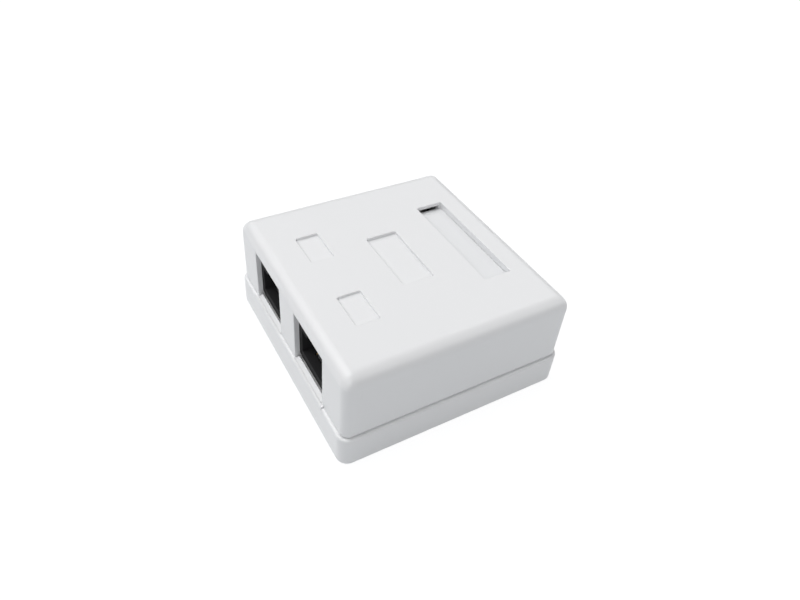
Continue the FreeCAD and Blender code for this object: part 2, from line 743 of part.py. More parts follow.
def make_board_screws():
    """Return the two screws of the circuit board."""
    screws = []
    for place in BOARD_SCREW_PLACES:
        screws.append(
            pan_head_screw(
                0,
                place,
                BOARD_TOP,
                (BOARD_SCREW_HEAD_RADIUS, BOARD_SCREW_HEAD_HEIGHT),
                (BOARD_SCREW_SHANK_RADIUS, BOARD_SCREW_LENGTH),
                (BOARD_SCREW_RECESS_WIDTH, BOARD_SCREW_RECESS_DEPTH),
            )
        )
    return Part.makeCompound(screws)


def plug_cavity(centre):
    """Return the stepped hollow that a plug and its tab go into."""
    step = PLUG_CEILING + TAB_STEP
    top = step + TAB_STEP
    half = PLUG_WIDTH / 2
    wide = TAB_WIDE_WIDTH / 2
    narrow = TAB_NARROW_WIDTH / 2
    y = JACK_FACE_Y - 1
    outline = [
        (centre - half, y, PLUG_FLOOR),
        (centre - half, y, PLUG_CEILING),
        (centre - wide, y, PLUG_CEILING),
        (centre - wide, y, step),
        (centre - narrow, y, step),
        (centre - narrow, y, top),
        (centre + narrow, y, top),
        (centre + narrow, y, step),
        (centre + wide, y, step),
        (centre + wide, y, PLUG_CEILING),
        (centre + half, y, PLUG_CEILING),
        (centre + half, y, PLUG_FLOOR),
    ]
    return prism(outline, (0, PLUG_DEPTH + 1, 0))


def make_jack_housing(centre):
    """Return a jack housing: plug cavity, comb, carrier pocket and two pegs."""
    half = JACK_WIDTH / 2
    body = box(centre - half, centre + half, JACK_FACE_Y, JACK_REAR_Y, BOARD_TOP, JACK_TOP)
    upper = edges_at_height(body, JACK_TOP)
    body = body.makeFillet(JACK_EDGE_RADIUS, [e for e in upper if e.BoundBox.XLength < 1])
    pegs = []
    for side in (-1, 1):
        x = centre + side * PEG_SPACING / 2
        foot = BOARD_TOP - PEG_DROP
        pegs.append(cylinder(x, JACK_FACE_Y + PEG_SETBACK, foot, BOARD_TOP + EMBED, PEG_RADIUS))
    body = join([body] + pegs)
    wide = CARRIER_WIDTH / 2 + CARRIER_CLEARANCE
    pocket_front = CARRIER_FRONT_Y - CARRIER_CLEARANCE
    pocket_rear = JACK_REAR_Y + 1
    pocket_top = CARRIER_TOP + CARRIER_CLEARANCE
    cuts = [plug_cavity(centre)]
    cuts.append(box(centre - wide, centre + wide, pocket_front, pocket_rear, BOARD_TOP - 1, pocket_top))
    front = JACK_FACE_Y + JACK_FACE_WALL
    rear = pocket_front + EMBED
    side = COMB_SLOT_WIDTH / 2
    foot = PLUG_FLOOR - COMB_SHARE * JACK_HEIGHT
    for offset, _ in contact_places():
        x = centre + offset
        cuts.append(box(x - side, x + side, front, rear, foot, PLUG_FLOOR + EMBED))
    return body.cut(cuts)


def make_contact_carrier(centre):
    """Return the block at the jack's rear that the contacts are moulded into."""
    half = CARRIER_WIDTH / 2
    front = CARRIER_FRONT_Y
    rear = JACK_REAR_Y
    top = CARRIER_TOP
    body = box(centre - half, centre + half, front, rear, BOARD_TOP, top)
    waist = box(
        centre - half + WAIST_INSET,
        centre + half - WAIST_INSET,
        rear - WAIST_DEPTH,
        rear + 1,
        BOARD_TOP + WAIST_FOOT,
        top - WAIST_HEAD,
    )
    cuts = [waist]
    run = RUN_HEIGHT
    size = CONTACT_SIZE / 2 + CONTACT_FIT
    for offset, setback in contact_places():
        x = centre + offset
        y = front + setback
        cuts.append(box(x - size, x + size, y - size, y + size, BOARD_TOP - 1, run))
        cuts.append(box(x - size, x + size, front - 1, y + size, run - size, run + size))
    return body.cut(cuts)


def contact_wire(x, setback):
    """Return one spring contact: tail, run forward, front bend and the sprung arm."""
    y_tail = CARRIER_FRONT_Y + setback
    y_front = JACK_FACE_Y + CONTACT_FRONT_SETBACK
    z_foot = BOARD_UNDERSIDE - TAIL_BELOW_BOARD
    z_hook = RUN_HEIGHT + 2 * CONTACT_BEND_RADIUS
    y_tip = JACK_FACE_Y + CONTACT_TIP_DEPTH
    z_tip = BOARD_TOP + TIP_SHARE * JACK_HEIGHT
    half = CONTACT_SIZE / 2
    tail = box(x - half, x + half, y_tail - half, y_tail + half, z_foot, RUN_HEIGHT + half)
    run = box(x - half, x + half, y_front, y_tail + half, RUN_HEIGHT - half, RUN_HEIGHT + half)
    centre = FreeCAD.Vector(x - half, y_front, RUN_HEIGHT + CONTACT_BEND_RADIUS)
    across = FreeCAD.Vector(1, 0, 0)
    outer = Part.makeCylinder(CONTACT_BEND_RADIUS + half, CONTACT_SIZE, centre, across)
    inner = Part.makeCylinder(CONTACT_BEND_RADIUS - half, CONTACT_SIZE, centre, across)
    bend_box = box(x - 1, x + 1, y_front - 2, y_front, RUN_HEIGHT - 1, z_hook + 1)
    bend = outer.cut(inner).common(bend_box)
    slope = math.atan2(z_tip - z_hook, y_tip - y_front)
    dy = half * math.sin(slope)
    dz = half * math.cos(slope)
    outline = [
        (x - half, y_front, z_hook + half),
        (x - half, y_front, z_hook - half),
        (x - half, y_tip + dy, z_tip - dz),
        (x - half, y_tip - dy, z_tip + dz),
    ]
    arm = prism(outline, (CONTACT_SIZE, 0, 0))
    return join([tail, run, bend, arm])


def make_spring_contacts(centre):
    """Return the eight spring contacts of one jack."""
    wires = [contact_wire(centre + offset, setback) for offset, setback in contact_places()]
    return Part.makeCompound(wires)


def make_terminal_block(centre):
    """Return a two-row terminal block with its wire slots and clip pockets."""
    outer = ROW_CENTRE + ROW_THICKNESS / 2
    foot_top = BOARD_TOP + BLOCK_FOOT
    pieces = [box(centre - outer, centre + outer, BLOCK_FRONT_Y, BLOCK_REAR_Y, BOARD_TOP, foot_top)]
    cuts = []
    for side in (-1, 1):
        x = centre + side * ROW_CENTRE
        half = ROW_THICKNESS / 2
        row = box(x - half, x + half, BLOCK_FRONT_Y, BLOCK_REAR_Y, BOARD_TOP, BLOCK_TOP)
        ridge = [e for e in edges_at_height(row, BLOCK_TOP) if e.BoundBox.YLength > 1]
        pieces.append(row.makeChamfer(TOOTH_CHAMFER, ridge))
    slot = WIRE_SLOT_WIDTH / 2
    slot_foot = BLOCK_TOP - WIRE_SLOT_DEPTH
    reach = ROW_THICKNESS / 2 + EMBED
    mouth = slot + TOOTH_CHAMFER / 2
    thick = CLIP_THICKNESS / 2 + CLIP_CLEARANCE
    wide = CLIP_WIDTH / 2 + CLIP_CLEARANCE
    pocket_top = BLOCK_TOP - CLIP_BELOW_TOP + CLIP_CLEARANCE
    for x, y in clip_places(centre):
        cuts.append(box(x - reach, x + reach, y - slot, y + slot, slot_foot, BLOCK_TOP + 1))
        outline = [
            (x - reach, y - mouth, BLOCK_TOP + EMBED),
            (x - reach, y, BLOCK_TOP - 2 * mouth),
            (x - reach, y + mouth, BLOCK_TOP + EMBED),
        ]
        cuts.append(prism(outline, (2 * reach, 0, 0)))
        cuts.append(box(x - thick, x + thick, y - wide, y + wide, BOARD_TOP - 1, pocket_top))
    return join(pieces).cut(cuts)


def terminal_clip(x, y):
    """Return one forked clip with its board pin."""
    thick = CLIP_THICKNESS / 2
    wide = CLIP_WIDTH / 2
    pin = CLIP_PIN_WIDTH / 2
    slit = CLIP_SLIT_WIDTH / 2
    top = BLOCK_TOP - CLIP_BELOW_TOP
    foot = BOARD_UNDERSIDE - TAIL_BELOW_BOARD
    start = x - thick
    outline = [
        (start, y - pin, foot),
        (start, y + pin, foot),
        (start, y + pin, BOARD_TOP),
        (start, y + wide, BOARD_TOP),
        (start, y + wide, top),
        (start, y + CLIP_MOUTH, top),
        (start, y + slit, top - 2 * CLIP_MOUTH),
        (start, y + slit, top - CLIP_SLIT_DEPTH),
        (start, y - slit, top - CLIP_SLIT_DEPTH),
        (start, y - slit, top - 2 * CLIP_MOUTH),
        (start, y - CLIP_MOUTH, top),
        (start, y - wide, top),
        (start, y - wide, BOARD_TOP),
        (start, y - pin, BOARD_TOP),
    ]
    return prism(outline, (CLIP_THICKNESS, 0, 0))


def make_terminal_clips(centre):
    """Return the eight forked clips of one port."""
    return Part.makeCompound([terminal_clip(x, y) for x, y in clip_places(centre)])


def make_wire_cap(centre, side):
    """Return the cap over one row: it keeps the wires down in their clips."""
    x = centre + side * ROW_CENTRE
    half = ROW_THICKNESS / 2 + CAP_CLEARANCE
    outer = half + CAP_WALL
    half_y = BLOCK_LENGTH / 2 + CAP_CLEARANCE
    y0 = BLOCK_CENTRE_Y - half_y
    y1 = BLOCK_CENTRE_Y + half_y
    foot = BLOCK_TOP - CAP_OVERLAP
    top = BLOCK_TOP + CAP_ROOF
    cap = box(x - outer, x + outer, y0 - CAP_WALL, y1 + CAP_WALL, foot, top)
    cap = cap.makeFillet(CAP_EDGE_RADIUS, edges_at_height(cap, top))
    cuts = [box(x - half, x + half, y0, y1, foot - 1, BLOCK_TOP)]
    pushers = []
    notch = CAP_NOTCH_WIDTH / 2
    notch_top = foot + CAP_NOTCH_HEIGHT
    past = outer + 1
    push = CAP_PUSHER_WIDTH / 2
    push_foot = BLOCK_TOP - CAP_PUSHER_DROP
    reach = ROW_THICKNESS / 2 - CAP_PUSHER_INSET
    for number in range(WIRES_PER_ROW):
        y = BLOCK_CENTRE_Y + (number - (WIRES_PER_ROW - 1) / 2) * WIRE_PITCH
        cuts.append(box(x - past, x + past, y - notch, y + notch, foot - 1, notch_top))
        pushers.append(box(x - reach, x + reach, y - push, y + push, push_foot, BLOCK_TOP + EMBED))
    return join([cap.cut(cuts)] + pushers)


def all_parts():
    """Return every node by name."""
    parts = {
        "base": make_base(),
        "cover": make_cover(),
        "label_plate": make_label_plate(),
        "cover_screw": make_cover_screw(),
        "circuit_board": make_circuit_board(),
        "board_screws": make_board_screws(),
    }
    for name, centre in PORT_CENTRES.items():
        inward = -1 if centre > 0 else 1
        parts[name + "_jack_housing"] = make_jack_housing(centre)
        parts[name + "_contact_carrier"] = make_contact_carrier(centre)
        parts[name + "_spring_contacts"] = make_spring_contacts(centre)
        parts[name + "_terminal_block"] = make_terminal_block(centre)
        parts[name + "_terminal_clips"] = make_terminal_clips(centre)
        parts[name + "_inner_wire_cap"] = make_wire_cap(centre, inward)
        parts[name + "_outer_wire_cap"] = make_wire_cap(centre, -inward)
    return parts


def main():
    """Write one STEP file for each node."""
    os.makedirs("parts", exist_ok=True)
    for name, shape in all_parts().items():
        shape.exportStep("parts/" + name + ".step")
        print(name, len(shape.Solids), round(shape.Volume, 2), shape.isValid())


main()
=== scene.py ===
"""Looks of a two-port surface mount jack box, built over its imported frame.

Metres, in the frame of the part: +X along the port face, +Y away from it and +Z up.
The white mouldings, the jacks, the screws and the terminals are the frame's own nodes
and get their finishes here. The sill's beads and the board's copper, solder and print
are modelled here.
"""

import logging
import math
from dataclasses import dataclass, field
from enum import Enum

import bmesh
import bpy
from mathutils import Matrix, Vector


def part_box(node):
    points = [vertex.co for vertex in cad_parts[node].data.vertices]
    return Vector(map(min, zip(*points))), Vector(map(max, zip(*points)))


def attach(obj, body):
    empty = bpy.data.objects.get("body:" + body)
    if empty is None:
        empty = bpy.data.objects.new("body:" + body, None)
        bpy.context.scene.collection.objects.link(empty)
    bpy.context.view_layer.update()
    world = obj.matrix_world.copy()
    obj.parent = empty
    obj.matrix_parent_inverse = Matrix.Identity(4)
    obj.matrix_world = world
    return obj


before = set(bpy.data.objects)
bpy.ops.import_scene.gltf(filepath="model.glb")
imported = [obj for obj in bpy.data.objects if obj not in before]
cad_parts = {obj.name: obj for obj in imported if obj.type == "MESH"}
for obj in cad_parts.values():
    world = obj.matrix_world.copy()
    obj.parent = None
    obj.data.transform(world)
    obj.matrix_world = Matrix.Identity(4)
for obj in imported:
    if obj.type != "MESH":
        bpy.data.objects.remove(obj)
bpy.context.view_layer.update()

LOG = logging.getLogger("jack_box")
MM = 0.001

# The sockets of a Mix node that mixes colours
MIX_AMOUNT, MIX_FIRST, MIX_SECOND = 0, 6, 7
MIX_RESULT = 2

Colour = tuple[float, float, float]
Point = tuple[float, float, float]
Pair = tuple[float, float]


class Port(Enum):
    """The two ports, by the side of the box that they lie on."""

    LEFT = -1
    RIGHT = 1

    @property
    def label(self) -> str:
        """Return the word that the port's nodes start with."""
        return self.name.lower()


# Node helpers


@dataclass
class Graph:
    """A node tree that is being wired up."""

    tree: bpy.types.NodeTree

    def add(self, kind: str, **settings: object) -> bpy.types.Node:
        """Add a node.

        Args:
            kind: the node's type name without the leading ShaderNode.
            settings: properties of the node to set.

        Returns:
            The new node.
        """
        node = self.tree.nodes.new("ShaderNode" + kind)
        for name, value in settings.items():
            setattr(node, name, value)
        return node

    def link(self, source: bpy.types.NodeSocket, target: bpy.types.NodeSocket) -> None:
        """Wire one output to one input."""
        self.tree.links.new(source, target)

    def math(
        self, operation: str, a: object, b: object = 0.0, clamp: bool = False
    ) -> bpy.types.NodeSocket:
        """Add a Math node.

        Args:
            operation: the Math node's operation.
            a: first operand, a socket or a number.
            b: second operand, a socket or a number.
            clamp: whether the result is kept between 0 and 1.

        Returns:
            The node's output.
        """
        node = self.add("Math", operation=operation, use_clamp=clamp)
        for index, value in enumerate((a, b)):
            self.feed(value, node.inputs[index])
        return node.outputs[0]

    def feed(self, value: object, target: bpy.types.NodeSocket) -> None:
        """Give an input either a link or a plain value.

        Args:
            value: a socket or a plain value.
            target: the input that gets it.
        """
        if isinstance(value, bpy.types.NodeSocket):
            self.link(value, target)
        else:
            target.default_value = value

    def ramp(self, value: object, low: float, high: float) -> bpy.types.NodeSocket:
        """Add a smooth step.

        Args:
            value: what is mapped.
            low: the value that gives 0.
            high: the value that gives 1.

        Returns:
            The step's output.
        """
        node = self.add("MapRange", interpolation_type="SMOOTHSTEP")
        self.feed(value, node.inputs["Value"])
        node.inputs["From Min"].default_value = low
        node.inputs["From Max"].default_value = high
        return node.outputs["Result"]

    def mix(self, amount: object, a: object, b: object) -> bpy.types.NodeSocket:
        """Mix two colours.

        Args:
            amount: how much of the second colour shows.
            a: first colour, a socket or RGBA.
            b: second colour, a socket or RGBA.

        Returns:
            The mixed colour.
        """
        node = self.add("Mix", data_type="RGBA")
        self.feed(amount, node.inputs[MIX_AMOUNT])
        self.feed(a, node.inputs[MIX_FIRST])
        self.feed(b, node.inputs[MIX_SECOND])
        return node.outputs[MIX_RESULT]

    def noise(
        self, place: bpy.types.NodeSocket, scale: object, detail: float
    ) -> bpy.types.Node:
        """Add a noise texture.

        Args:
            place: where on the object it is read.
            scale: its scale, a socket or a number.
            detail: how many finer layers it has.

        Returns:
            The noise node.
        """
        node = self.add("TexNoise")
        self.link(place, node.inputs["Vector"])
        self.feed(scale, node.inputs["Scale"])
        node.inputs["Detail"].default_value = detail
        return node

    def object_place(self) -> bpy.types.NodeSocket:
        """Return the place on the object in its own coordinates."""
        return self.add("TexCoord").outputs["Object"]

    def upness(self) -> bpy.types.NodeSocket:
        """Read how far a face looks up, from -1 to 1.

        Returns:
            The upward part of the surface's normal.
        """
        parts = self.add("SeparateXYZ")
        self.link(self.add("NewGeometry").outputs["Normal"], parts.inputs[0])
        return parts.outputs["Z"]

    def bump(
        self,
        height: bpy.types.NodeSocket,
        depth: float,
        normal: bpy.types.NodeSocket | None = None,
    ) -> bpy.types.NodeSocket:
        """Add a Bump node.

        Args:
            height: the height that it reads.
            depth: the height's full depth.
            normal: the normal that it starts from, or None for the surface's own.

        Returns:
            The bumped normal.
        """
        node = self.add("Bump")
        node.inputs["Distance"].default_value = depth
        self.link(height, node.inputs["Height"])
        if normal is not None:
            self.link(normal, node.inputs["Normal"])
        return node.outputs["Normal"]


@dataclass
class EffectGroup:
    """A shader node group with named sockets."""

    name: str
    inputs: dict[str, tuple[str, object]]
    outputs: dict[str, str]
    tree: bpy.types.NodeTree = field(init=False)
    graph: Graph = field(init=False)
    entry: bpy.types.Node = field(init=False)
    exit: bpy.types.Node = field(init=False)

    def __post_init__(self) -> None:
        """Make the empty group and its sockets."""
        self.tree = bpy.data.node_groups.new(self.name, "ShaderNodeTree")
        self.graph = Graph(self.tree)
        for name, (kind, value) in self.inputs.items():
            socket = self.tree.interface.new_socket(
                name, in_out="INPUT", socket_type="NodeSocket" + kind
            )
            socket.default_value = value
        for name, kind in self.outputs.items():
            self.tree.interface.new_socket(
                name, in_out="OUTPUT", socket_type="NodeSocket" + kind
            )
        self.entry = self.tree.nodes.new("NodeGroupInput")
        self.exit = self.tree.nodes.new("NodeGroupOutput")

    def place(self, graph: Graph, **values: object) -> bpy.types.Node:
        """Put the group into a material.

        Args:
            graph: the material's graph.
            values: input names, with underscores for spaces, and their values or sources.

        Returns:
            The group node.
        """
        node = graph.tree.nodes.new("ShaderNodeGroup")
        node.node_tree = self.tree
        for name, value in values.items():
            graph.feed(value, node.inputs[name.replace("_", " ")])
        return node


@dataclass
class Effects:
    """The shared effects of the finishes, each built once."""

    swell_scale: float = 0.045  # of the grain's scale
    swell_shift: float = 0.06  # of the roughness
    grain_detail: float = 3.0
    grain_roughness: float = 0.55
    flow_stretch: Point = (1.0, 0.45, 0.8)
    flow_detail: float = 2.0
    flow_range: Pair = (0.32, 0.7)
    cloud_detail: float = 4.0
    cloud_distortion: float = 0.6
    smudge_range: Pair = (0.5, 0.72)
    speck_scale: float = 900.0
    speck_range: Pair = (0.06, 0.16)
    dust_slope: Pair = (0.3, 0.95)
    dust_patches: Pair = (0.42, 0.6)
    plating_detail: float = 3.0
    plating_range: Pair = (0.35, 0.7)
    rim_samples: int = 4
    mould_grain: EffectGroup = field(init=False)
    flow_tint: EffectGroup = field(init=False)
    handling: EffectGroup = field(init=False)
    plating: EffectGroup = field(init=False)
    rim: EffectGroup = field(init=False)

    def __post_init__(self) -> None:
        """Build every group."""
        self.mould_grain = self._mould_grain()
        self.flow_tint = self._flow_tint()
        self.handling = self._handling()
        self.plating = self._plating()
        self.rim = self._rim()

    def _mould_grain(self) -> EffectGroup:
        """Build the fine eroded texture of a mould's steel, as a height.

        Returns:
            The node group.
        """
        group = EffectGroup(
            "mould_grain",
            {"Scale": ("Float", 3000.0), "Fineness": ("Float", 0.5)},
            {"Height": "Float", "Roughness Shift": "Float"},
        )
        g = group.graph
        place = g.object_place()
        scale = group.entry.outputs["Scale"]
        grain = g.noise(place, scale, self.grain_detail)
        grain.inputs["Roughness"].default_value = self.grain_roughness
        swell = g.noise(place, g.math("MULTIPLY", scale, self.swell_scale), self.flow_detail)
        fine = g.math("MULTIPLY", grain.outputs["Fac"], group.entry.outputs["Fineness"])
        rest = g.math("SUBTRACT", 1.0, group.entry.outputs["Fineness"])
        slow = g.math("MULTIPLY", swell.outputs["Fac"], rest)
        g.link(g.math("ADD", fine, slow), group.exit.inputs["Height"])
        shift = g.math("SUBTRACT", swell.outputs["Fac"], 0.5)
        shift = g.math("MULTIPLY", shift, self.swell_shift)
        g.link(shift, group.exit.inputs["Roughness Shift"])
        return group

    def _flow_tint(self) -> EffectGroup:
        """Build the faint drift of a moulded colour between two tints.

        Returns:
            The node group.
        """
        group = EffectGroup(
            "flow_tint",
            {
                "Colour": ("Color", (0.8, 0.8, 0.8, 1.0)),
                "Drift Colour": ("Color", (0.78, 0.78, 0.76, 1.0)),
                "Scale": ("Float", 40.0),
                "Amount": ("Float", 0.5),
            },
            {"Colour": "Color"},
        )
        g = group.graph
        given = group.entry.outputs
        warp = g.add("Mapping")
        g.link(g.object_place(), warp.inputs["Vector"])
        warp.inputs["Scale"].default_value = self.flow_stretch
        flow = g.noise(warp.outputs["Vector"], given["Scale"], self.flow_detail)
        mask = g.ramp(flow.outputs["Fac"], *self.flow_range)
        amount = g.math("MULTIPLY", mask, given["Amount"])
        mixed = g.mix(amount, given["Colour"], given["Drift Colour"])
        g.link(mixed, group.exit.inputs["Colour"])
        return group

    def _handling(self) -> EffectGroup:
        """Build the mask of finger smudges and fine dust on faces that look up.

        Returns:
            The node group.
        """
        group = EffectGroup(
            "handling",
            {"Smudge Scale": ("Float", 90.0), "Dust": ("Float", 0.3)},
            {"Smudge": "Float", "Dust": "Float"},
        )
        g = group.graph
        place = g.object_place()
        cloud = g.noise(place, group.entry.outputs["Smudge Scale"], self.cloud_detail)
        cloud.inputs["Distortion"].default_value = self.cloud_distortion
        smudge = g.ramp(cloud.outputs["Fac"], *self.smudge_range)
        g.link(smudge, group.exit.inputs["Smudge"])
        specks = g.add("TexVoronoi", feature="F1")
        g.link(place, specks.inputs["Vector"])
        specks.inputs["Scale"].default_value = self.speck_scale
        near = g.math("SUBTRACT", 1.0, g.ramp(specks.outputs["Distance"], *self.speck_range))
        up = g.ramp(g.upness(), *self.dust_slope)
        patches = g.ramp(cloud.outputs["Fac"], *self.dust_patches)
        dust = g.math("MULTIPLY", g.math("MULTIPLY", near, up), patches)
        g.link(g.math("MULTIPLY", dust, group.entry.outputs["Dust"]), group.exit.inputs["Dust"])
        return group

    def _plating(self) -> EffectGroup:
        """Build the slight unevenness of a plated metal surface.

        Returns:
            The node group.
        """
        group = EffectGroup(
            "plating",
            {"Scale": ("Float", 900.0), "Stretch": ("Vector", (1.0, 1.0, 1.0))},
            {"Height": "Float", "Mask": "Float"},
        )
        g = group.graph
        warp = g.add("Mapping")
        g.link(g.object_place(), warp.inputs["Vector"])
        g.link(group.entry.outputs["Stretch"], warp.inputs["Scale"])
        scale = group.entry.outputs["Scale"]
        marks = g.noise(warp.outputs["Vector"], scale, self.plating_detail)
        g.link(marks.outputs["Fac"], group.exit.inputs["Height"])
        mask = g.ramp(marks.outputs["Fac"], *self.plating_range)
        g.link(mask, group.exit.inputs["Mask"])
        return group

    def _rim(self) -> EffectGroup:
        """Build the softened normal of a small edge radius.

        Returns:
            The node group.
        """
        group = EffectGroup("rim", {"Radius": ("Float", 0.0002)}, {"Normal": "Vector"})
        g = group.graph
        bevel = g.add("Bevel", samples=self.rim_samples)
        g.link(group.entry.outputs["Radius"], bevel.inputs["Radius"])
        g.link(bevel.outputs["Normal"], group.exit.inputs["Normal"])
        return group


# Finishes


def node_of(tree: bpy.types.NodeTree, kind: str) -> bpy.types.Node:
    """Return a tree's first node of a type."""
    return next(node for node in tree.nodes if node.type == kind)


def new_material(name: str) -> tuple[bpy.types.Material, Graph, bpy.types.Node]:
    """Start a material.

    Args:
        name: the finish's name.

    Returns:
        The material, its graph and its Principled shader.
    """
    material = bpy.data.materials.new(name)
    material.use_nodes = True
    shader = node_of(material.node_tree, "BSDF_PRINCIPLED")
    return material, Graph(material.node_tree), shader


def rgba(colour: Colour) -> tuple[float, float, float, float]:
    """Return a colour with full alpha."""
    return (*colour, 1.0)


@dataclass(frozen=True)
class MouldedFinish:
    """A moulded plastic with a fine texture, a faint drift of tint and light handling."""

    name: str
    colour: Colour
    drift: Colour
    roughness: float
    drift_amount: float = 0.5
    grain_scale: float = 3200.0
    grain_depth: float = 0.000005
    smudge: float = 0.05
    dust: float = 0.1
    dust_colour: Colour = (0.62, 0.61, 0.59)
    edge_radius: float = 0.00015
    specular: float = 0.5
    fineness: float = 0.6
    dust_roughness: float = 0.3

    def build(self, effects: Effects) -> bpy.types.Material:
        """Build the material.

        Args:
            effects: the shared node groups.

        Returns:
            The finished material.
        """
        material, g, shader = new_material(self.name)
        tint = effects.flow_tint.place(
            g, Colour=rgba(self.colour), Drift_Colour=rgba(self.drift), Amount=self.drift_amount
        )
        touch = effects.handling.place(g, Dust=self.dust)
        dusty = g.mix(touch.outputs["Dust"], tint.outputs["Colour"], rgba(self.dust_colour))
        g.link(dusty, shader.inputs["Base Color"])
        grain = effects.mould_grain.place(g, Scale=self.grain_scale, Fineness=self.fineness)
        rough = g.math("ADD", grain.outputs["Roughness Shift"], self.roughness)
        smudged = g.math("MULTIPLY", touch.outputs["Smudge"], self.smudge)
        rough = g.math("ADD", rough, smudged)
        dulled = g.math("MULTIPLY", touch.outputs["Dust"], self.dust_roughness)
        rough = g.math("ADD", rough, dulled, clamp=True)
        g.link(rough, shader.inputs["Roughness"])
        rim = effects.rim.place(g, Radius=self.edge_radius)
        normal = g.bump(grain.outputs["Height"], self.grain_depth, rim.outputs["Normal"])
        g.link(normal, shader.inputs["Normal"])
        shader.inputs["Specular IOR Level"].default_value = self.specular
        return material


@dataclass(frozen=True)
class PlatedFinish:
    """A plated or drawn metal with fine draw marks and a darker film in places."""

    name: str
    colour: Colour
    film: Colour
    roughness: float
    stretch: Point = (1.0, 1.0, 1.0)
    scale: float = 900.0
    depth: float = 0.000006
    edge_radius: float = 0.00006
    film_roughness: float = 0.12

    def build(self, effects: Effects) -> bpy.types.Material:
        """Build the material.

        Args:
            effects: the shared node groups.

        Returns:
            The finished material.
        """
        material, g, shader = new_material(self.name)
        plating = effects.plating.place(g, Scale=self.scale, Stretch=self.stretch)
        colour = g.mix(plating.outputs["Mask"], rgba(self.colour), rgba(self.film))
        g.link(colour, shader.inputs["Base Color"])
        shader.inputs["Metallic"].default_value = 1.0
        spread = g.math("MULTIPLY", plating.outputs["Mask"], self.film_roughness)
        g.link(g.math("ADD", spread, self.roughness, clamp=True), shader.inputs["Roughness"])
        rim = effects.rim.place(g, Radius=self.edge_radius)
        normal = g.bump(plating.outputs["Height"], self.depth, rim.outputs["Normal"])
        g.link(normal, shader.inputs["Normal"])
        return material


@dataclass(frozen=True)
class BoardFinish:
    """Solder mask over glass laminate: glossy green faces, dull edges in near-black painted
    shade.
    """

    name: str
    mask: Colour = (0.012, 0.105, 0.045)
    weave: Colour = (0.02, 0.135, 0.06)
    # near-black: painted shade on the board's edges, darker than the bare laminate
    edge: Colour = (0.012, 0.014, 0.01)
    roughness: float = 0.28
    edge_roughness: float = 0.8
    specular: float = 0.5
    thread_scale: float = 520.0
    thread_distortion: float = 0.4
    weave_amount: float = 0.7
    weave_depth: float = 0.000008
    face_range: Pair = (0.4, 0.6)
    dust: float = 0.2
    smudge: float = 0.1

    def build(self, effects: Effects) -> bpy.types.Material:
        """Build the material.

        Args:
            effects: the shared node groups.

        Returns:
            The finished material.
        """
        material, g, shader = new_material(self.name)
        place = g.object_place()
        threads = []
        for axis in ("X", "Y"):
            wave = g.add("TexWave", bands_direction=axis)
            g.link(place, wave.inputs["Vector"])
            wave.inputs["Scale"].default_value = self.thread_scale
            wave.inputs["Distortion"].default_value = self.thread_distortion
            threads.append(wave.outputs["Fac"])
        cloth = g.math("MULTIPLY", threads[0], threads[1])
        shown = g.math("MULTIPLY", cloth, self.weave_amount)
        face = g.mix(shown, rgba(self.mask), rgba(self.weave))
        flat = g.ramp(g.math("ABSOLUTE", g.upness()), *self.face_range)
        # the edges get the near-black colour as painted shade, and no specular level
        g.link(g.mix(flat, rgba(self.edge), face), shader.inputs["Base Color"])
        g.link(g.math("MULTIPLY", flat, self.specular), shader.inputs["Specular IOR Level"])
        touch = effects.handling.place(g, Dust=self.dust)
        gloss = g.math("MULTIPLY", flat, self.edge_roughness - self.roughness)
        base = g.math("SUBTRACT", self.edge_roughness, gloss)
        smudged = g.math("MULTIPLY", touch.outputs["Smudge"], self.smudge)
        g.link(g.math("ADD", base, smudged), shader.inputs["Roughness"])
        g.link(g.bump(cloth, self.weave_depth), shader.inputs["Normal"])
        return material


@dataclass(frozen=True)
class StageFinish:
    """The white ground: plain white to the camera and to mirrors, with the object's shadow."""

    name: str
    colour: Colour
    shadow_keep: float
    glow: float
    mottle_scale: float = 60.0
    mottle_tint: float = 0.985
    roughness: float = 0.9
    specular: float = 0.1

    def build(self) -> bpy.types.Material:
        """Build the material.

        Returns:
            The finished material.
        """
        material, g, shader = new_material(self.name)
        mottle = g.add("TexNoise")
        g.link(g.object_place(), mottle.inputs["Vector"])
        mottle.inputs["Scale"].default_value = self.mottle_scale
        tint = tuple(self.mottle_tint * part for part in self.colour)
        ground = g.mix(mottle.outputs["Fac"], rgba(self.colour), rgba(tint))
        g.link(ground, shader.inputs["Base Color"])
        shader.inputs["Roughness"].default_value = self.roughness
        shader.inputs["Specular IOR Level"].default_value = self.specular
        glow = g.add("Emission")
        glow.inputs["Color"].default_value = (1.0, 1.0, 1.0, 1.0)
        glow.inputs["Strength"].default_value = self.glow
        rays = g.add("LightPath")
        seen = g.math("MAXIMUM", rays.outputs["Is Camera Ray"], rays.outputs["Is Glossy Ray"])
        seen = g.math("MAXIMUM", seen, rays.outputs["Is Transmission Ray"])
        blend = g.add("MixShader")
        g.link(g.math("MULTIPLY", seen, 1.0 - self.shadow_keep), blend.inputs[0])
        g.link(shader.outputs[0], blend.inputs[1])
        g.link(glow.outputs[0], blend.inputs[2])
        output = node_of(material.node_tree, "OUTPUT_MATERIAL")
        g.link(blend.outputs[0], output.inputs[0])
        return material


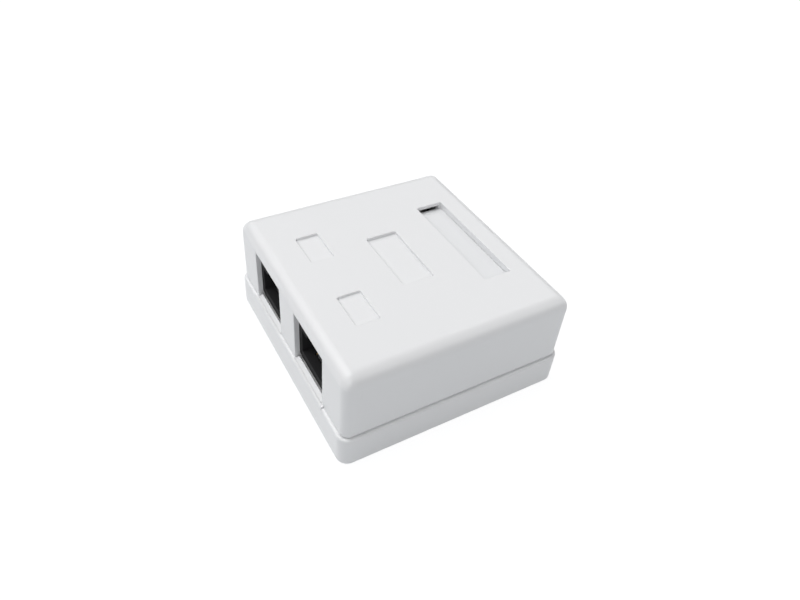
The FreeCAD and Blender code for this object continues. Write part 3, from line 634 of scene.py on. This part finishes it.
@dataclass(frozen=True)
class PlainFinish:
    """A thin printed or soldered surface with a fine unevenness."""

    name: str
    colour: Colour
    second: Colour
    roughness: float
    metallic: float = 0.0
    scale: float = 1500.0
    depth: float = 0.00001
    second_roughness: float = 0.1

    def build(self, effects: Effects) -> bpy.types.Material:
        """Build the material.

        Args:
            effects: the shared node groups.

        Returns:
            The finished material.
        """
        material, g, shader = new_material(self.name)
        plating = effects.plating.place(g, Scale=self.scale)
        colour = g.mix(plating.outputs["Mask"], rgba(self.colour), rgba(self.second))
        g.link(colour, shader.inputs["Base Color"])
        shader.inputs["Metallic"].default_value = self.metallic
        spread = g.math("MULTIPLY", plating.outputs["Mask"], self.second_roughness)
        g.link(g.math("ADD", spread, self.roughness), shader.inputs["Roughness"])
        g.link(g.bump(plating.outputs["Height"], self.depth), shader.inputs["Normal"])
        return material


CASE_WHITE = MouldedFinish(
    name="case_white",
    colour=(0.805, 0.81, 0.82),
    drift=(0.80, 0.805, 0.815),
    roughness=0.3,
    dust=0.02,
    smudge=0.015,
)
LABEL_WHITE = MouldedFinish(
    name="label_white",
    colour=(0.77, 0.778, 0.79),
    drift=(0.76, 0.768, 0.78),
    roughness=0.36,
    dust=0.04,
)
JACK_BLACK = MouldedFinish(
    name="jack_black",
    colour=(0.022, 0.022, 0.023),
    drift=(0.026, 0.026, 0.027),
    roughness=0.5,
    grain_depth=0.00002,
    dust=0.08,
    dust_colour=(0.12, 0.12, 0.12),
    specular=0.02,
)
CARRIER_GREY = MouldedFinish(
    name="carrier_grey",
    colour=(0.05, 0.05, 0.055),
    drift=(0.06, 0.06, 0.065),
    roughness=0.5,
    dust=0.1,
    dust_colour=(0.2, 0.2, 0.2),
)
TERMINAL_IVORY = MouldedFinish(
    name="terminal_ivory",
    colour=(0.72, 0.70, 0.63),
    drift=(0.69, 0.67, 0.6),
    roughness=0.4,
    dust=0.08,
)
CAP_MILKY = MouldedFinish(
    name="cap_milky",
    colour=(0.74, 0.77, 0.79),
    drift=(0.70, 0.74, 0.77),
    roughness=0.24,
    dust=0.04,
    grain_depth=0.000006,
)
SCREW_STEEL = PlatedFinish(
    name="screw_steel",
    colour=(0.66, 0.66, 0.68),
    film=(0.56, 0.56, 0.57),
    roughness=0.26,
    stretch=(1.0, 1.0, 6.0),
)
CLIP_TIN = PlatedFinish(
    name="clip_tin",
    colour=(0.72, 0.71, 0.69),
    film=(0.6, 0.59, 0.56),
    roughness=0.34,
    stretch=(1.0, 1.0, 0.2),
)
# Both tints are far darker than plated gold: painted shade for the contacts deep in the dark
# ports.
CONTACT_GOLD_PAINTED_SHADE = PlatedFinish(
    name="contact_gold",
    colour=(0.5, 0.35, 0.15),
    film=(0.3, 0.2, 0.08),
    roughness=0.4,
    stretch=(3.0, 0.3, 0.3),
)
BOARD_GREEN = BoardFinish(name="board_green")
SOLDER = PlainFinish("solder", (0.62, 0.62, 0.62), (0.5, 0.5, 0.49), 0.22, metallic=1.0)
TRACK_COPPER = PlainFinish("track_copper", (0.02, 0.16, 0.065), (0.016, 0.14, 0.055), 0.25)
PRINT_WHITE = PlainFinish("print_white", (0.75, 0.76, 0.74), (0.7, 0.71, 0.69), 0.55)
SHARED_FINISHES = (
    JACK_BLACK,
    CARRIER_GREY,
    CONTACT_GOLD_PAINTED_SHADE,
    TERMINAL_IVORY,
    CLIP_TIN,
    CAP_MILKY,
    SOLDER,
    TRACK_COPPER,
    PRINT_WHITE,
)


# Mesh helpers


def mesh_piece(name: str, build: bmesh.types.BMesh, smooth: bool = True) -> bpy.types.Object:
    """Turn a bmesh into a linked object.

    Args:
        name: the piece's name.
        build: the mesh being built, which is freed.
        smooth: whether its faces shade smooth.

    Returns:
        The new object.
    """
    mesh = bpy.data.meshes.new(name)
    bmesh.ops.recalc_face_normals(build, faces=build.faces[:])
    build.to_mesh(mesh)
    build.free()
    mesh.polygons.foreach_set("use_smooth", [smooth] * len(mesh.polygons))
    piece = bpy.data.objects.new(name, mesh)
    bpy.context.scene.collection.objects.link(piece)
    return piece


def dress(piece: bpy.types.Object, material: bpy.types.Material) -> None:
    """Give every slot of an object one material.

    Args:
        piece: the object.
        material: the finish that it gets.
    """
    if not piece.data.materials:
        piece.data.materials.append(material)
    for index in range(len(piece.data.materials)):
        piece.data.materials[index] = material


def ribbon(
    build: bmesh.types.BMesh,
    path: list[Vector],
    width: float,
    height: float,
    crown: float = 0.8,
) -> None:
    """Add a flat raised strip along a path in a horizontal plane.

    Args:
        build: the mesh to add to.
        path: the strip's centre line at its foot.
        width: the strip's width.
        height: how far it stands up.
        crown: the width of its top, as a share of its foot's.
    """
    rows = []
    for index, point in enumerate(path):
        before = path[max(index - 1, 0)]
        after = path[min(index + 1, len(path) - 1)]
        along = (after - before).normalized()
        aside = Vector((-along.y, along.x, 0.0)) * width / 2
        rise = Vector((0.0, 0.0, height))
        inset = aside * crown
        corners = (point - aside, point - inset + rise, point + inset + rise, point + aside)
        rows.append([build.verts.new(corner) for corner in corners])
    for one, two in zip(rows, rows[1:]):
        for index in range(3):
            build.faces.new((one[index], one[index + 1], two[index + 1], two[index]))


def turned(
    build: bmesh.types.BMesh, centre: Vector, profile: list[Pair], steps: int
) -> None:
    """Add a turned form about an upright axis.

    Args:
        build: the mesh to add to.
        centre: where the axis and the profile's zero height lie.
        profile: radius and height of each ring, from one end to the other.
        steps: how many points each ring has.
    """
    rings = []
    for radius, height in profile:
        ring = []
        for step in range(steps):
            angle = math.tau * step / steps
            offset = Vector((radius * math.cos(angle), radius * math.sin(angle), height))
            ring.append(build.verts.new(centre + offset))
        rings.append(ring)
    for low, high in zip(rings, rings[1:]):
        for step in range(steps):
            after = (step + 1) % steps
            build.faces.new((low[step], low[after], high[after], high[step]))


# Sub-assemblies


@dataclass
class SillBeads:
    """The low moulded beads along the sill, one at the foot of each port.

    They stand in front of the board's edge and shade it.
    """

    rise: float = 0.85 * MM
    depth: float = 1.25 * MM
    rear_gap: float = 0.17 * MM
    end_gap: float = 0.06 * MM
    end_round: float = 0.9 * MM
    end_height: float = 0.04  # of the rise
    crown: float = 0.22 * MM
    segments: int = 6
    sharp_angle: float = 50.0

    def _section(self) -> list[Pair]:
        """Work out the bead's section, from its front foot to its rear foot.

        Returns:
            The setback and height of each point.
        """
        sweep = math.pi / 2 + math.atan2(self.rise, self.depth - self.crown)
        middle, centre = self.depth - self.crown, self.rise - self.crown
        points = [(0.0, 0.0)]
        for step in range(self.segments + 1):
            angle = sweep - sweep * step / self.segments
            setback = middle + self.crown * math.cos(angle)
            points.append((setback, centre + self.crown * math.sin(angle)))
        points.append((self.depth, 0.0))
        return points

    def _bead(
        self, build: bmesh.types.BMesh, start: float, end: float, front: float, sill: float
    ) -> None:
        """Add one bead, whose ends round down to the sill.

        Args:
            build: the mesh to add to.
            start: where its -X end lies.
            end: where its +X end lies.
            front: where its front foot lies.
            sill: the sill's height.
        """
        section = self._section()
        rows = []
        for end_place, inward in ((start, 1.0), (end, -1.0)):
            turn = []
            for step in range(self.segments + 1):
                angle = step / self.segments * math.pi / 2
                reach = self.end_round * (1.0 - math.cos(angle))
                height = max(math.sin(angle), self.end_height)
                turn.append((end_place + inward * reach, height))
            rows += turn if inward > 0 else turn[::-1]
        rings = []
        for x, height in rows:
            rings.append([build.verts.new((x, front + y, sill + z * height)) for y, z in section])
        for one, two in zip(rings, rings[1:]):
            for index in range(len(section)):
                after = (index + 1) % len(section)
                build.faces.new((one[index], one[after], two[after], two[index]))
        for ring in (rings[0], rings[-1]):
            build.faces.new(ring)

    def build(self, white: bpy.types.Material) -> None:
        """Build both beads as one piece of the base.

        Args:
            white: the case's finish.
        """
        build = bmesh.new()
        board_low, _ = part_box("circuit_board")
        for port in Port:
            jack_low, jack_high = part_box(f"{port.label}_jack_housing")
            rear = jack_low.y - self.rear_gap
            start = jack_low.x - self.end_gap
            end = jack_high.x + self.end_gap
            self._bead(build, start, end, rear - self.depth, board_low.z)
        piece = mesh_piece("port_sill_beads", build)
        piece.data.set_sharp_from_angle(angle=math.radians(self.sharp_angle))
        dress(piece, white)
        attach(piece, "root")
        LOG.info("sill beads built")


@dataclass
class Case:
    """The base, the cover, its screw and the label plate."""

    effects: Effects

    def finish(self) -> None:
        """Dress the case and its screws, and build its beads."""
        white = CASE_WHITE.build(self.effects)
        for node in ("base", "cover"):
            dress(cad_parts[node], white)
        dress(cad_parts["label_plate"], LABEL_WHITE.build(self.effects))
        SillBeads().build(white)
        steel = SCREW_STEEL.build(self.effects)
        for node in ("cover_screw", "board_screws"):
            dress(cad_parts[node], steel)
        LOG.info("case dressed: base, cover, label_plate, screws")


@dataclass
class JackUnit:
    """One port's jack, its terminal block, clips and wire caps."""

    port: Port
    materials: dict[str, bpy.types.Material]

    def finish(self) -> None:
        """Dress the port's nodes."""
        finishes = {
            "jack_housing": "jack_black",
            "contact_carrier": "carrier_grey",
            "spring_contacts": "contact_gold",
            "terminal_block": "terminal_ivory",
            "terminal_clips": "clip_tin",
            "inner_wire_cap": "cap_milky",
            "outer_wire_cap": "cap_milky",
        }
        for piece, name in finishes.items():
            dress(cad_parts[f"{self.port.label}_{piece}"], self.materials[name])
        LOG.info("%s jack unit dressed", self.port.label)


@dataclass
class BoardWork:
    """The circuit board's tracks, screw lands, print and solder joints."""

    materials: dict[str, bpy.types.Material]
    copper_rise: float = 0.035 * MM
    print_rise: float = 0.02 * MM
    contact_pitch: float = 1.02 * MM
    contact_count: int = 8
    tail_setbacks: Pair = (1.3 * MM, 2.7 * MM)
    row_centre: float = 5.1 * MM
    wire_pitch: float = 3.2 * MM
    wires_per_row: int = 4
    track_width: float = 0.42 * MM
    track_lap: float = 0.3 * MM
    track_straight: float = 0.35 * MM
    fan_out: float = 1.42
    shield_side: float = 3.35 * MM
    shield_width: float = 0.7 * MM
    shield_reach: Pair = (5.0 * MM, 7.2 * MM)
    link_places: Pair = (6.0 * MM, 4.6 * MM)
    link_side: float = 0.6 * MM
    land_radii: Pair = (1.45 * MM, 3.0 * MM)
    land_steps: int = 40
    hole_radii: Pair = (0.22 * MM, 0.5 * MM)
    hole_rise: float = 1.6  # of the copper's
    hole_steps: int = 16
    print_width: float = 0.16 * MM
    print_margin: float = 0.42 * MM
    print_front: float = 1.2 * MM
    print_rear: float = 0.6  # of the margin
    mark_gap: float = 0.2 * MM
    mark_length: float = 1.5 * MM
    mark_half: float = 0.5 * MM
    mark_start: float = 0.45  # of the mark's length
    mark_setback: float = 1.6 * MM
    joint_steps: int = 12
    joint_profile: tuple[Pair, ...] = (  # in millimetres
        (0.62, 0.0),
        (0.56, -0.06),
        (0.4, -0.22),
        (0.3, -0.5),
        (0.27, -0.8),
        (0.02, -0.86),
    )
    low: Vector = field(init=False)
    high: Vector = field(init=False)

    def __post_init__(self) -> None:
        """Read where the board lies."""
        self.low, self.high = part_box("circuit_board")

    def build(self) -> None:
        """Build every piece of the board's surface."""
        self._keep("board_tracks", self._tracks(), "track_copper")
        self._keep("board_lands", self._lands(), "solder")
        self._keep("board_print", self._print(), "print_white")
        self._keep("solder_joints", self._joints(), "solder")
        LOG.info("board work built")

    def _keep(self, name: str, build: bmesh.types.BMesh, material: str) -> None:
        """Turn a mesh into a piece that stays on the base.

        Args:
            name: the piece's name.
            build: its mesh.
            material: the finish that it gets.
        """
        piece = mesh_piece(name, build, smooth=False)
        dress(piece, self.materials[material])
        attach(piece, "root")

    @staticmethod
    def _offsets(count: int, pitch: float) -> list[float]:
        """Return evenly spaced places about zero."""
        return [(number - (count - 1) / 2) * pitch for number in range(count)]

    @staticmethod
    def _port(port: Port) -> tuple[float, Vector, Vector, Vector, Vector]:
        """Find where a port's jack and terminal block lie.

        Args:
            port: the port.

        Returns:
            Its middle, and the low and high corners of its jack and of its block.
        """
        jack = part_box(f"{port.label}_jack_housing")
        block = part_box(f"{port.label}_terminal_block")
        return (jack[0].x + jack[1].x) / 2, *jack, *block

    def _screws(self) -> list[Vector]:
        """Find the board's two screws.

        Returns:
            Where they stand on the board, the front one first.
        """
        low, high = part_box("board_screws")
        radius = (high.x - low.x) / 2
        places = (low.y + radius, high.y - radius)
        return [Vector((0.0, y, self.high.z)) for y in places]

    def _links(self) -> Pair:
        """Return where the two cross links of the shield line lie."""
        near, back = self._screws()
        return near.y + self.link_places[0], back.y - self.link_places[1]

    def _strip(self, build: bmesh.types.BMesh, path: list[Pair], width: float) -> None:
        """Add a track on top of the board, along a path of x and y."""
        points = [Vector((x, y, self.high.z)) for x, y in path]
        ribbon(build, points, width, self.copper_rise)

    def _tracks(self) -> bmesh.types.BMesh:
        """Build the tracks to the terminals and the shield line between the jacks.

        Returns:
            The mesh being built.
        """
        build = bmesh.new()
        near, back = self._screws()
        for port in Port:
            middle, _, jack_end, block_start, _ = self._port(port)
            for offset in self._offsets(self.contact_count, self.contact_pitch):
                x0 = middle + offset
                x1 = middle + offset * self.fan_out
                start = jack_end.y - self.track_lap
                turn = jack_end.y + self.track_straight
                far = turn + abs(x1 - x0)
                end = block_start.y + self.track_lap
                path = [(x0, start), (x0, turn), (x1, far), (x1, end)]
                self._strip(build, path, self.track_width)
            side = port.value * self.shield_side
            front, rear = self.shield_reach
            path = [(side, near.y - front), (side, back.y + rear)]
            self._strip(build, path, self.shield_width)
            for y in self._links():
                path = [(side, y), (port.value * self.link_side, y)]
                self._strip(build, path, self.track_width)
        return build

    def _lands(self) -> bmesh.types.BMesh:
        """Build the tinned lands round the screws and the plated holes of the shield line.

        Returns:
            The mesh being built.
        """
        build = bmesh.new()
        land = self._washer(self.land_radii, self.copper_rise)
        for place in self._screws():
            turned(build, place, land, self.land_steps)
        hole = self._washer(self.hole_radii, self.hole_rise * self.copper_rise)
        for y in self._links():
            for side in (-self.link_side, self.link_side):
                turned(build, Vector((side, y, self.high.z)), hole, self.hole_steps)
        return build

    @staticmethod
    def _washer(radii: Pair, rise: float) -> list[Pair]:
        """Return the section of a flat ring that stands on the board."""
        inner, outer = radii
        return [(inner, 0.0), (inner, rise), (outer, rise), (outer, 0.0)]

    def _frame(self, build: bmesh.types.BMesh, low: Vector, high: Vector) -> None:
        """Add a printed rectangle.

        Args:
            build: the mesh to add to.
            low: its lowest corner in the plane.
            high: its highest corner in the plane.
        """
        z = self.high.z
        half = self.print_width / 2
        sides = [((low.x - half, y), (high.x + half, y)) for y in (low.y, high.y)]
        sides += [((x, low.y + half), (x, high.y - half)) for x in (low.x, high.x)]
        for start, end in sides:
            path = [Vector((*start, z)), Vector((*end, z))]
            ribbon(build, path, self.print_width, self.print_rise)

    def _print(self) -> bmesh.types.BMesh:
        """Build the printed outlines of jacks and terminal blocks and the first-pin marks.

        Returns:
            The mesh being built.
        """
        build = bmesh.new()
        margin = Vector((self.print_margin, self.print_margin, 0.0))
        z = self.high.z + self.print_rise
        for port in Port:
            _, jack_start, jack_end, block_start, block_end = self._port(port)
            front = self.low.y + self.print_front
            start = Vector((jack_start.x - margin.x, front, 0.0))
            self._frame(build, start, jack_end + margin * self.print_rear)
            self._frame(build, block_start - margin, block_end + margin)
            side = block_start.x if port is Port.RIGHT else block_end.x
            x = side - port.value * self.mark_gap
            reach = -port.value * self.mark_length
            y = block_end.y - self.mark_setback
            corners = (
                (x + reach * self.mark_start, y),
                (x + reach, y - self.mark_half),
                (x + reach, y + self.mark_half),
            )
            build.faces.new([build.verts.new((*corner, z)) for corner in corners])
        return build

    def _joints(self) -> bmesh.types.BMesh:
        """Build the solder cones under the board, round every contact tail and clip pin.

        Returns:
            The mesh being built.
        """
        build = bmesh.new()
        profile = [(radius * MM, height * MM) for radius, height in self.joint_profile]
        places = []
        for port in Port:
            middle, _, jack_end, block_start, block_end = self._port(port)
            tails = self._offsets(self.contact_count, self.contact_pitch)
            for number, offset in enumerate(tails):
                places.append((middle + offset, jack_end.y - self.tail_setbacks[number % 2]))
            centre = (block_start.y + block_end.y) / 2
            for side in (-self.row_centre, self.row_centre):
                for offset in self._offsets(self.wires_per_row, self.wire_pitch):
                    places.append((middle + side, centre + offset))
        for place in places:
            turned(build, Vector((*place, self.low.z)), profile, self.joint_steps)
        return build


@dataclass(frozen=True)
class SoftLamp:
    """A wide, far lamp: where it stands, in degrees, and the brightness that it gives white."""

    name: str
    azimuth: float
    elevation: float
    level: float

    def side(self) -> Vector:
        """Work out where the lamp stands.

        Returns:
            The direction from the object to the lamp.
        """
        a = math.radians(self.azimuth)
        e = math.radians(self.elevation)
        return Vector((math.cos(a) * math.cos(e), math.sin(a) * math.cos(e), math.sin(e)))


@dataclass
class Stage:
    """The white ground, the lamps and the camera."""

    floor_size: float = 3.0
    floor_cells: int = 8
    floor_drop: float = 0.00005
    ground: StageFinish = StageFinish("ground_white", (0.62, 0.64, 0.66), 0.28, 1.25)
    sensor: float = 36.0
    clip: Pair = (0.005, 20.0)
    camera_place: Point = (0.10803, -0.06983, 0.13117)
    azimuth: float = 58.006
    elevation: float = 40.204
    roll: float = 4.692
    lens: float = 30.147
    shift: Pair = (0.01346, -0.03535)
    sky_colour: Colour = (0.985, 0.99, 1.0)
    sky_level: float = 0.1
    lamp_spread: float = 38.0
    lamps: tuple[SoftLamp, ...] = (
        SoftLamp("key_over_ports", 225.0, 65.0, 0.39),
        SoftLamp("fill_before_ports", 225.0, 38.0, 0.184),
        SoftLamp("fill_by_camera", 315.0, 38.0, 0.285),
        SoftLamp("rim_left", 180.0, 38.0, 0.125),
        SoftLamp("rim_back_left", 135.0, 38.0, 0.104),
        SoftLamp("rim_back_right", 45.0, 38.0, 0.141),
        SoftLamp("rim_behind", 90.0, 8.0, 0.12),
    )

    def floor(self) -> bpy.types.Object:
        """Build the floor.

        Returns:
            The floor object.
        """
        build = bmesh.new()
        cells = self.floor_cells
        bmesh.ops.create_grid(
            build, x_segments=cells, y_segments=cells, size=self.floor_size / 2
        )
        piece = mesh_piece("floor", build, smooth=False)
        piece.location.z = -self.floor_drop
        dress(piece, self.ground.build())
        return piece

    def camera(self) -> bpy.types.Object:
        """Place the camera that the photograph was taken with.

        Returns:
            The camera object.
        """
        data = bpy.data.cameras.new("photo_camera")
        data.sensor_width = self.sensor
        data.lens = self.lens
        data.shift_x, data.shift_y = self.shift
        data.clip_start, data.clip_end = self.clip
        camera = bpy.data.objects.new("photo_camera", data)
        bpy.context.scene.collection.objects.link(camera)
        a = math.radians(self.azimuth)
        e = math.radians(self.elevation)
        r = math.radians(self.roll)
        back = Vector((math.sin(a) * math.cos(e), -math.cos(a) * math.cos(e), math.sin(e)))
        level = Vector((math.cos(a), math.sin(a), 0.0))
        upright = back.cross(level)
        right = math.cos(r) * level + math.sin(r) * upright
        up = -math.sin(r) * level + math.cos(r) * upright
        turn = Matrix((right, up, back)).transposed().to_4x4()
        camera.matrix_world = Matrix.Translation(self.camera_place) @ turn
        bpy.context.scene.camera = camera
        return camera

    def lamp(self, soft: SoftLamp) -> None:
        """Hang one wide, far lamp.

        Args:
            soft: the lamp's side and level.
        """
        data = bpy.data.lights.new(soft.name, "SUN")
        data.energy = math.pi * soft.level
        data.angle = math.radians(self.lamp_spread)
        lamp = bpy.data.objects.new(soft.name, data)
        bpy.context.scene.collection.objects.link(lamp)
        lamp.matrix_world = soft.side().to_track_quat("Z", "Y").to_matrix().to_4x4()

    def light(self) -> None:
        """Light the object with a faint even sky and the soft lamps."""
        world = bpy.data.worlds.new("studio")
        bpy.context.scene.world = world
        world.use_nodes = True
        g = Graph(world.node_tree)
        sky = node_of(world.node_tree, "BACKGROUND")
        sky.inputs["Color"].default_value = rgba(self.sky_colour)
        rays = g.add("LightPath").outputs
        seen = g.math("MAXIMUM", rays["Is Camera Ray"], rays["Is Transmission Ray"])
        unseen = g.math("MULTIPLY", g.math("SUBTRACT", 1.0, seen), self.sky_level)
        g.link(g.math("MAXIMUM", unseen, seen), sky.inputs["Strength"])
        for soft in self.lamps:
            self.lamp(soft)

    def build(self) -> None:
        """Build the whole stage."""
        self.floor()
        self.camera()
        self.light()
        LOG.info("stage built")


def main() -> None:
    """Dress the box, build its pieces and set the stage."""
    logging.basicConfig(level=logging.INFO, format="%(name)s: %(message)s")
    bpy.context.scene.view_settings.view_transform = "Standard"
    effects = Effects()
    Case(effects).finish()
    shared = {finish.name: finish.build(effects) for finish in SHARED_FINISHES}
    for port in Port:
        JackUnit(port, shared).finish()
    dress(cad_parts["circuit_board"], BOARD_GREEN.build(effects))
    BoardWork(shared).build()
    Stage().build()


if __name__ == "__main__":
    main()
